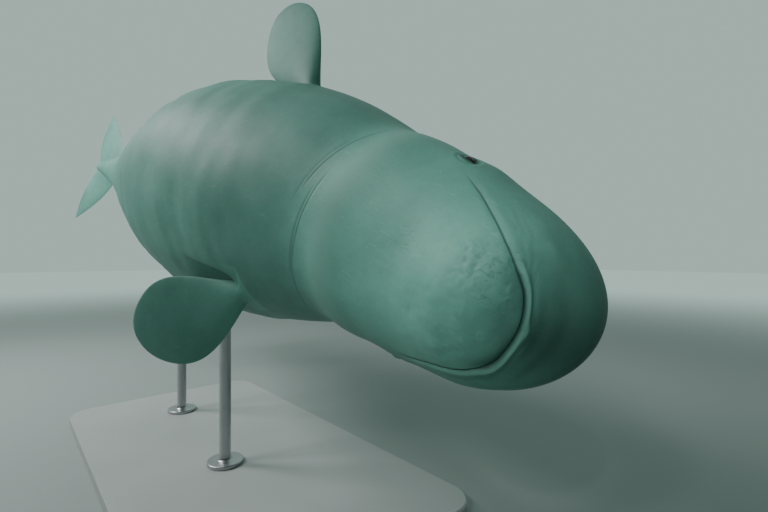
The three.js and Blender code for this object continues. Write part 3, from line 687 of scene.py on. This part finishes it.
def add_fluke(side):
    """Window along the tail stock, blade started just outside the stock's half width."""
    room = FLUKE_WINDOW
    side_v = side * math.pi / 2
    window = cut_window(station_at(room["from"]), station_at(room["to"]), side_v - room["beside"],
                        side_v + room["beside"])
    straight = trunk(*window[1:])
    d = straight - straight.mean(0)
    around = np.arctan2(d[:, 2] / np.abs(d[:, 2]).max(), -d[:, 0] / np.abs(d[:, 0]).max())
    s = room["middle"] - room["half"] * np.cos(around)
    half_width = np.interp(s, TRUNK_SECTIONS[:, 2], TRUNK_SECTIONS[:, 4])
    start = smooth_ring((half_width + room["clear"]) / FLUKE["span"])
    add_limb(window, lambda out, turn: fluke_place(side, out, turn), start, 0.9985, around, 10, 34,
             room["shade"])


for side in (1, -1):
    add_flipper(side)
    add_fluke(side)


# The finished skin: net, lids, flippers and flukes in one closed mesh, bent and set in its pose.
# The skin is pale grey with a green cast and a satin gloss, mottled, finely wrinkled and scratched,
# with patches of short creases on the chin and the throat. Painted shade darkens its folds, creases,
# hollows and slits and the front of the melon, a painted shadow lies across the torso, and a painted
# highlight lies on the lip and neck rolls.

# The darkest tone is laid on as painted shade, and on a few dark marks; the pale green lip tone is a painted
# highlight on the lip and neck rolls.
SKIN_PALE, SKIN_MID = (0.152, 0.375, 0.308, 1), (0.100, 0.280, 0.226, 1)
SKIN_DARK, SKIN_BLOTCH = (0.008, 0.026, 0.022, 1), (0.090, 0.225, 0.185, 1)
SKIN_SPECK, SKIN_SCRATCH = (0.055, 0.150, 0.120, 1), (0.24, 0.44, 0.38, 1)
SKIN_PAINTED_HIGHLIGHT = (0.22, 0.42, 0.355, 1)
# middle of each patch of short creases, where they fade out and where they are full, in m, and strength of
# their bump and of their painted shade
CREASED = (((0.072, -0.088, -0.148), 0.080, 0.030, 1.0), ((0.255, -0.056, -0.201), 0.065, 0.020, 0.45))


def quads(index, row, column):
    """Corners of each cell: its own crossing, the next column's, the one below that, and the next row's."""
    return np.stack([index(row, column), index(row, column + 1), index(row + 1, column + 1),
                     index(row + 1, column)], -1)


def fan(index, row, columns, end):
    """Triangles from the crossings of a row to an end point, as quads whose last corner is doubled."""
    column = np.arange(columns)
    tip = np.full(columns, end)
    return np.stack([index(row, column), index(row, column + 1), tip, tip], -1)


def link(made):
    """Put an object into the scene and hand it back."""
    bpy.context.scene.collection.objects.link(made)
    return made


def build_mesh(name, points, faces, shades):
    """Mesh of quads, or triangles where the last two corners are the same, with point attributes."""
    used = np.unique(faces)
    renumber = np.full(len(points), -1)
    renumber[used] = np.arange(len(used))
    faces = renumber[faces]
    mesh = bpy.data.meshes.new(name)
    corner_kept = np.ones(faces.shape, bool)
    corner_kept[:, 3] = faces[:, 2] != faces[:, 3]
    sides = corner_kept.sum(1)
    mesh.vertices.add(len(used))
    mesh.vertices.foreach_set("co", points[used].ravel())
    mesh.loops.add(int(sides.sum()))
    mesh.loops.foreach_set("vertex_index", faces[corner_kept])
    mesh.polygons.add(len(faces))
    mesh.polygons.foreach_set("loop_start", np.cumsum(sides) - sides)
    mesh.update(calc_edges=True)
    mesh.validate()
    for key, values in shades.items():
        kind, field = ("FLOAT_VECTOR", "vector") if values.ndim == 2 else ("FLOAT", "value")
        mesh.attributes.new(key, kind, "POINT").data.foreach_set(field, values[used].ravel())
    work = bmesh.new()
    work.from_mesh(mesh)
    bmesh.ops.recalc_face_normals(work, faces=work.faces)
    work.to_mesh(mesh)
    work.free()
    mesh.polygons.foreach_set("use_smooth", np.ones(len(mesh.polygons), bool))
    mesh.update()
    return link(bpy.data.objects.new(name, mesh))


straight_points = np.vstack(skin_points)
bent_already = np.concatenate(skin_bent)
posed = np.where(bent_already[:, None], straight_points, bend(straight_points))
along_body = straight_points.copy()
along_body[bent_already, 0] = SPINE_FIXED - along_body[bent_already, 0]
skin_faces += [quads(net_index, *np.nonzero(open_cells)), fan(net_index, 0, COLUMN_COUNT, 0),
               fan(net_index, ROW_COUNT - 1, COLUMN_COUNT, 1 + dark.size)]
whale_skin = build_mesh("whale_skin", set_in_pose(posed), np.concatenate(skin_faces), {
    # dark share: painted shade, with a few dark marks; pale share: painted highlight
    "dark_marks_and_painted_shade": np.clip(np.concatenate(skin_dark), 0, 1),
    "painted_highlight": np.clip(np.concatenate(skin_pale), 0, 1),
    "along_body": along_body,
})


class Finish:
    """A material, or the room's light, with its node tree and short ways to add and join nodes."""

    def __init__(self, name, kind=bpy.data.materials, shader="Principled BSDF"):
        self.made = kind.new(name)
        self.made.use_nodes = True
        self.tree = self.made.node_tree
        self.shader = self.tree.nodes[shader]

    def add(self, kind, **settings):
        """New node, each setting given to its socket of that name, or else to the node itself."""
        node = self.tree.nodes.new(kind)
        for key, value in settings.items():
            if key in node.inputs:
                node.inputs[key].default_value = value
            else:
                setattr(node, key, value)
        return node

    def join(self, value, socket):
        """Link an output to a socket, or write a plain number or colour into it."""
        if isinstance(value, (int, float, tuple)):
            socket.default_value = value
        else:
            self.tree.links.new(value, socket)

    def surface(self, sockets):
        """Give each named socket of the shader its link, number or colour."""
        for key, value in sockets.items():
            self.join(value, self.shader.inputs[key])

    def place(self):
        """Object coordinates."""
        return self.add("ShaderNodeTexCoord").outputs["Object"]

    def share(self, attribute, output="Fac"):
        """A point attribute of the mesh."""
        return self.add("ShaderNodeAttribute", attribute_name=attribute).outputs[output]

    def stretched(self, vector, scale):
        """Scale the coordinates along each way, so that a pattern is drawn out."""
        node = self.add("ShaderNodeMapping", Scale=scale)
        self.join(vector, node.inputs["Vector"])
        return node.outputs["Vector"]

    def noise(self, vector, scale, detail=4.0, roughness=0.5, distortion=0.0):
        """Cloud noise, 0 to 1, of so many clouds to a metre."""
        node = self.add("ShaderNodeTexNoise", Scale=scale, Detail=detail, Roughness=roughness,
                        Distortion=distortion)
        self.join(vector, node.inputs["Vector"])
        return node.outputs["Fac"]

    def ramp(self, value, low, high, start=0.0, end=1.0, kind="LINEAR"):
        """Straight or smooth ramp from start at low to end at high, level outside them."""
        node = self.add("ShaderNodeMapRange", interpolation_type=kind)
        for key, number in (("From Min", low), ("From Max", high), ("To Min", start), ("To Max", end)):
            node.inputs[key].default_value = number
        self.join(value, node.inputs["Value"])
        return node.outputs["Result"]

    def measure(self, kind, vector, other=(0.0, 0.0, 0.0)):
        """Length of a vector, or its distance to or product with another."""
        node = self.add("ShaderNodeVectorMath", operation=kind)
        self.join(vector, node.inputs[0])
        node.inputs[1].default_value = other
        return node.outputs["Value"]

    def math(self, kind, first, second):
        """Sum, product or larger of two values."""
        node = self.add("ShaderNodeMath", operation=kind)
        for socket, value in zip(node.inputs, (first, second)):
            self.join(value, socket)
        return node.outputs[0]

    def blend(self, share, first, second, strength=1.0):
        """First colour, with share times strength of the second over it."""
        node = self.add("ShaderNodeMix", data_type="RGBA")
        if strength != 1.0:
            share = self.math("MULTIPLY", share, strength)
        for socket, value in zip((node.inputs[0], node.inputs[6], node.inputs[7]), (share, first, second)):
            self.join(value, socket)
        return node.outputs[2]

    def bump(self, height, strength, distance):
        """Normal tilted by the slope of a height, whose unit is distance."""
        node = self.add("ShaderNodeBump", Strength=strength, Distance=distance)
        self.join(height, node.inputs["Height"])
        self.join(node.outputs["Normal"], self.shader.inputs["Normal"])


def crease_patches(f, along):
    """Largest of the ramps of the distance from each creased patch's middle."""
    patches = 0.0
    for middle, fade, full, strength in CREASED:
        away = f.measure("DISTANCE", along, middle)
        patches = f.math("MAXIMUM", patches, f.ramp(away, fade, full, 0.0, strength))
    return patches


def whale_skin_finish():
    """Mottled grey between two tones, painted shade in folds and hollows, a painted highlight on the lip and
    neck rolls, creases with painted shade in them, and scratches.
    """
    f = Finish("whale_skin")
    along = f.share("along_body", "Vector")
    clouds = f.ramp(f.noise(along, 3.2, 5, 0.55), 0.32, 0.70)
    blotches = f.ramp(f.noise(along, 22, 5, 0.6, 0.4), 0.40, 0.75)
    specks = f.ramp(f.noise(along, 160, 3, 0.6), 0.58, 0.74)
    rings = f.noise(f.stretched(along, (34, 5, 5)), 1.0, 6, 0.62, 0.3)
    scratches = f.ramp(f.noise(f.stretched(along, (6, 120, 90)), 1.0, 2, 0.4, 1.6), 0.66, 0.74)
    creases = f.ramp(f.noise(f.stretched(along, (50, 95, 60)), 1.0, 2, 0.5, 0.9), 0.56, 0.66)
    creases = f.math("MULTIPLY", creases, crease_patches(f, along))
    dimples, grain = f.noise(along, 46, 4, 0.55), f.noise(along, 420, 3, 0.6)
    colour = f.blend(clouds, SKIN_MID, SKIN_PALE)
    # blotches, specks and scratches are the skin's own tone; the dark share and the creases lay on painted
    # shade, the pale share a painted highlight
    for share, tone, strength in ((blotches, SKIN_BLOTCH, 0.35), (specks, SKIN_SPECK, 0.22),
                                  (scratches, SKIN_SCRATCH, 0.30), (f.share("painted_highlight"), SKIN_PAINTED_HIGHLIGHT, 0.75),
                                  (f.share("dark_marks_and_painted_shade"), SKIN_DARK, 0.85), (creases, SKIN_DARK, 0.17)):
        colour = f.blend(share, colour, tone, strength)
    height = f.math("MULTIPLY", dimples, 0.9)
    for relief, amount in ((rings, 1.0), (grain, 0.12), (scratches, -0.10), (creases, -1.8)):
        height = f.math("ADD", height, f.math("MULTIPLY", relief, amount))
    f.bump(height, 0.35, 0.0015)
    f.surface({"Base Color": colour, "Roughness": f.ramp(clouds, 0, 1, 0.52, 0.64),
               "Specular IOR Level": 0.28, "Subsurface Weight": 0.06, "Subsurface Scale": 0.02})
    return f.made


whale_skin.data.materials.append(whale_skin_finish())
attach(whale_skin, "root")
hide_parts("head", "lower_jaw", "neck", "torso", "tail_stock", "fluke_left",
            "fluke_right", "flipper_left", "flipper_right")


# Eyeballs: near round, with a slight dome over a very dark iris and a black, wide pupil. They are
# as glossy as glass, and sit in the lids.

EYE_FLATTENED, EYE_DOME, EYE_DOME_HALF = 0.995, 0.035, 0.5
IRIS_DARK, IRIS_LIGHT = (0.010, 0.010, 0.009, 1), (0.030, 0.027, 0.022, 1)
PUPIL, WHITE_OF_EYE = (0.002, 0.002, 0.002, 1), (0.020, 0.022, 0.021, 1)


def turned_faces(rows, columns):
    """Quads between neighbouring rings, then a fan from each end ring to its end point."""
    index = lambda row, column: row * columns + column % columns
    cells = quads(index, *np.nonzero(np.ones((rows - 1, columns))))
    first, last = fan(index, 0, columns, rows * columns), fan(index, rows - 1, columns, rows * columns + 1)
    return np.concatenate([cells, first, last])


def eye_ball(name, side):
    """Sphere about the outward axis, in rings of latitude, its radius swelled by a bell at the front."""
    middle, back, up, out = eye_axes(side)
    centre = middle + out * (EYE_PROUD - EYE_BALL)
    rise = np.concatenate([np.linspace(0, 0.9, 25)[1:], np.linspace(0.9, math.pi, 22)[1:-1]])
    turn = np.linspace(0, 2 * math.pi, 48, endpoint=False)
    rise_grid, turn_grid = np.meshgrid(rise, turn, indexing="ij")
    radius = EYE_BALL * (EYE_FLATTENED + EYE_DOME * bell(rise_grid, 0, EYE_DOME_HALF))
    ring = np.sin(rise_grid) * radius
    x, y, z = (part[..., None] for part in (ring * np.cos(turn_grid), ring * np.sin(turn_grid),
                                            np.cos(rise_grid) * radius))
    points = (centre + x * back + y * up + z * out).reshape(-1, 3)
    ends = centre + out * EYE_BALL * np.array([[EYE_FLATTENED + EYE_DOME], [-EYE_FLATTENED]])
    angle = np.append(rise_grid.ravel(), [0.0, math.pi])
    return build_mesh(name, set_in_pose(bend(np.vstack([points, ends]))), turned_faces(len(rise), len(turn)),
                      {"from_pupil": angle})


def eye_finish():
    """Black pupil, dark iris with fine specks, and a dark grey white of the eye, by angle from the axis."""
    f = Finish("whale_eye")
    angle = f.share("from_pupil")
    iris = f.blend(f.noise(f.place(), 900, 2, 0.5), IRIS_DARK, IRIS_LIGHT)
    colour = f.blend(f.ramp(angle, 0.26, 0.30), PUPIL, iris)
    colour = f.blend(f.ramp(angle, 0.62, 0.74), colour, WHITE_OF_EYE)
    f.surface({"Base Color": colour, "Roughness": 0.12, "Specular IOR Level": 0.35, "Coat Weight": 0.2,
               "Coat Roughness": 0.05})
    return f.made


eye_material = eye_finish()
for name, side in (("left", 1), ("right", -1)):
    ball = eye_ball(f"eyeball_{name}", side)
    ball.data.materials.append(eye_material)
    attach(ball, "root")
    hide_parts(f"eye_{name}")


# Display stand: turned steel rods, each with a screwed foot on the base and a flared pad under the
# skin. They are brushed round the axis.

ROD = {"radius": 0.024, "foot": 0.075, "foot_height": 0.016, "pad": 0.062, "pad_height": 0.070, "steps": 72}
STEEL_DARK, STEEL_LIGHT = (0.42, 0.43, 0.44, 1), (0.58, 0.59, 0.60, 1)


def rod(name, node):
    """Profile of radius against height, turned in even steps about the upright axis of the node's box."""
    low, high = (np.array(corner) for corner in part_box(node))
    axis = (low + high)[:2] / 2
    r, f, p = ROD["radius"], ROD["foot"], ROD["pad"]
    foot, top = low[2], high[2]
    plate, neck = foot + ROD["foot_height"], top - ROD["pad_height"]
    ring = np.array([
        [f - 0.002, foot], [f, foot + 0.002], [f, plate - 0.004], [f - 0.001, plate - 0.001],
        [f - 0.004, plate], [r + 0.010, plate], [r + 0.005, plate + 0.002], [r + 0.001, plate + 0.009],
        [r, plate + 0.016],
        [r, neck - 0.075], [r + 0.002, neck - 0.055], [r + 0.008, neck - 0.030], [p - 0.014, neck - 0.010],
        [p - 0.003, neck - 0.001], [p - 0.001, neck + 0.003], [p - 0.001, top - 0.001], [p - 0.003, top],
    ])
    turn = np.linspace(0, 2 * math.pi, ROD["steps"], endpoint=False)
    x = axis[0] + ring[:, :1] * np.cos(turn)
    y = axis[1] + ring[:, :1] * np.sin(turn)
    points = np.stack([x, y, np.repeat(ring[:, 1:], ROD["steps"], 1)], -1).reshape(-1, 3)
    ends = np.array([[*axis, foot], [*axis, top]])
    return build_mesh(name, np.vstack([points, ends]), turned_faces(len(ring), ROD["steps"]), {})


def steel_finish():
    """Grey steel with fine rings of brushing and a few duller patches."""
    f = Finish("rod_steel")
    place = f.place()
    brushing = f.noise(f.stretched(place, (8, 8, 900)), 1.0, 3, 0.6)
    f.bump(brushing, 0.25, 0.0004)
    f.surface({"Base Color": f.blend(brushing, STEEL_DARK, STEEL_LIGHT), "Metallic": 1.0,
               "Roughness": f.ramp(f.noise(place, 14, 3, 0.5), 0.3, 0.7, 0.28, 0.44)})
    return f.made


steel = steel_finish()
for name in ("front", "rear"):
    piece = rod(f"rod_{name}", f"stand_rod_{name}")
    piece.data.materials.append(steel)
    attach(piece, "root")
    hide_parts(f"stand_rod_{name}")


# Display base: a heavy board with rounded corners and a chamfer, sprayed in matt grey lacquer with a
# fine orange peel and a few streaks of wear. The solid's own shape is right and stays.

LACQUER_DARK, LACQUER_LIGHT = (0.40, 0.43, 0.42, 1), (0.50, 0.53, 0.52, 1)
LACQUER_WORN = (0.62, 0.64, 0.63, 1)


def lacquer_finish():
    """Pale grey with faint clouds, roughness that varies a little, scuffs, and a fine bump."""
    f = Finish("base_lacquer")
    place = f.place()
    clouds = f.noise(place, 2.4, 4, 0.5)
    scuffs = f.ramp(f.noise(f.stretched(place, (3, 60, 60)), 1.0, 2, 0.5, 1.2), 0.68, 0.80)
    colour = f.blend(scuffs, f.blend(clouds, LACQUER_DARK, LACQUER_LIGHT), LACQUER_WORN, 0.25)
    f.bump(f.noise(place, 700, 2, 0.5), 0.2, 0.0005)
    f.surface({"Base Color": colour, "Roughness": f.ramp(clouds, 0.3, 0.7, 0.42, 0.56)})
    return f.made


base_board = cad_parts["stand_base"]
base_board.data.materials.clear()
base_board.data.materials.append(lacquer_finish())


# Room: a pale floor with a painted glow that grows towards the distance, a soft key light and a rear
# light from the upper left, two soft spots on the head and the chin, and a weak glow from the back and
# overhead. The camera is low in front of the whale, level, and looks back along the belly.

FLOOR_HALF = 30.0
FLOOR_TONE, GLOW_TONE = (0.34, 0.39, 0.375, 1), (0.72, 0.95, 0.88, 1)
# painted glow of the far floor: distance where it starts, distance where it is full, and its strength
FLOOR_GLOW_FROM, FLOOR_GLOW_TO, FLOOR_GLOW = 4.0, 13.0, 0.50
# direction of each glow of the room, the cosines where it starts and is full, and its least and most
ROOM_GLOWS = (((-0.75, 0.66, 0.0), 0.0, 0.8, 0.03, 0.45), ((0.0, 0.0, 1.0), 0.3, 0.9, 0.0, 0.30))
BACKDROP = 0.58


def floor():
    """One large square with a painted glow: its emission grows by a smooth step of distance, so that it runs
    into the backdrop.
    """
    mesh = bpy.data.meshes.new("floor")
    corners = [(x * FLOOR_HALF, y * FLOOR_HALF, 0) for x, y in ((-1, -1), (1, -1), (1, 1), (-1, 1))]
    mesh.from_pydata(corners, [], [(0, 1, 2, 3)])
    f = Finish("floor")
    away = f.measure("LENGTH", f.place())
    # painted glow: the far floor emits light instead of being lit
    glow = f.ramp(away, FLOOR_GLOW_FROM, FLOOR_GLOW_TO, 0.0, FLOOR_GLOW, "SMOOTHSTEP")
    f.surface({"Base Color": FLOOR_TONE, "Roughness": 0.8, "Emission Color": GLOW_TONE,
               "Emission Strength": glow})
    mesh.materials.append(f.made)
    link(bpy.data.objects.new("floor", mesh))


def studio_light(name, kind, place, target, power, **shape):
    """Light whose beam runs from its place to its target: tilted up from straight down, then turned."""
    data = bpy.data.lights.new(name, kind)
    data.energy = power
    for key, value in shape.items():
        setattr(data, key, value)
    way = unit(np.array(target) - np.array(place))
    light = link(bpy.data.objects.new(name, data))
    light.location = place
    light.rotation_euler = (math.acos(-way[2]), 0, math.atan2(way[1], way[0]) - math.pi / 2)


def room_light():
    """Sum of glows that grow by smooth steps towards the back and overhead, before an even pale backdrop."""
    f = Finish("room", bpy.data.worlds, "Background")
    heading = f.add("ShaderNodeTexCoord").outputs["Generated"]
    glows = [f.ramp(f.measure("DOT_PRODUCT", heading, way), first, full, least, most, "SMOOTHSTEP")
             for way, first, full, least, most in ROOM_GLOWS]
    seen = f.add("ShaderNodeLightPath").outputs["Is Camera Ray"]
    choice = f.add("ShaderNodeMix")
    for number, value in ((0, seen), (2, f.math("ADD", *glows)), (3, BACKDROP)):
        f.join(value, choice.inputs[number])
    f.surface({"Color": GLOW_TONE, "Strength": choice.outputs[0]})
    bpy.context.scene.world = f.made


floor()
studio_light("key", "AREA", (-1.6, -4.4, 5.4), (0.2, -0.1, 1.1), 140, size=1.8)
studio_light("rear_light", "AREA", (-2.6, -2.2, 3.6), (-1.7, 0.2, 1.2), 105, size=1.2)
for name, place, target, power, angle, soft in (
        ("head_light", (1.87, -2.56, 2.45), (1.25, -0.20, 1.04), 143, 22, 0.25),
        ("chin_light", (2.44, -2.18, 2.37), (1.56, -0.18, 0.955), 168, 7.4, 0.15)):
    studio_light(name, "SPOT", place, target, power, spot_size=math.radians(angle), spot_blend=1.0,
                 shadow_soft_size=soft)
room_light()

CAMERA_FROM_BODY = np.array([1.8195, -0.8187, -0.2577])
CAMERA_HEADING = math.radians(48.66)

lens = bpy.data.cameras.new("camera")
lens.lens, lens.sensor_width = 20.39, 36.0
camera = link(bpy.data.objects.new("camera", lens))
camera.location = BODY_CENTRE + CAMERA_FROM_BODY
camera.rotation_euler = (math.pi / 2, 0, CAMERA_HEADING)
bpy.context.scene.camera = camera
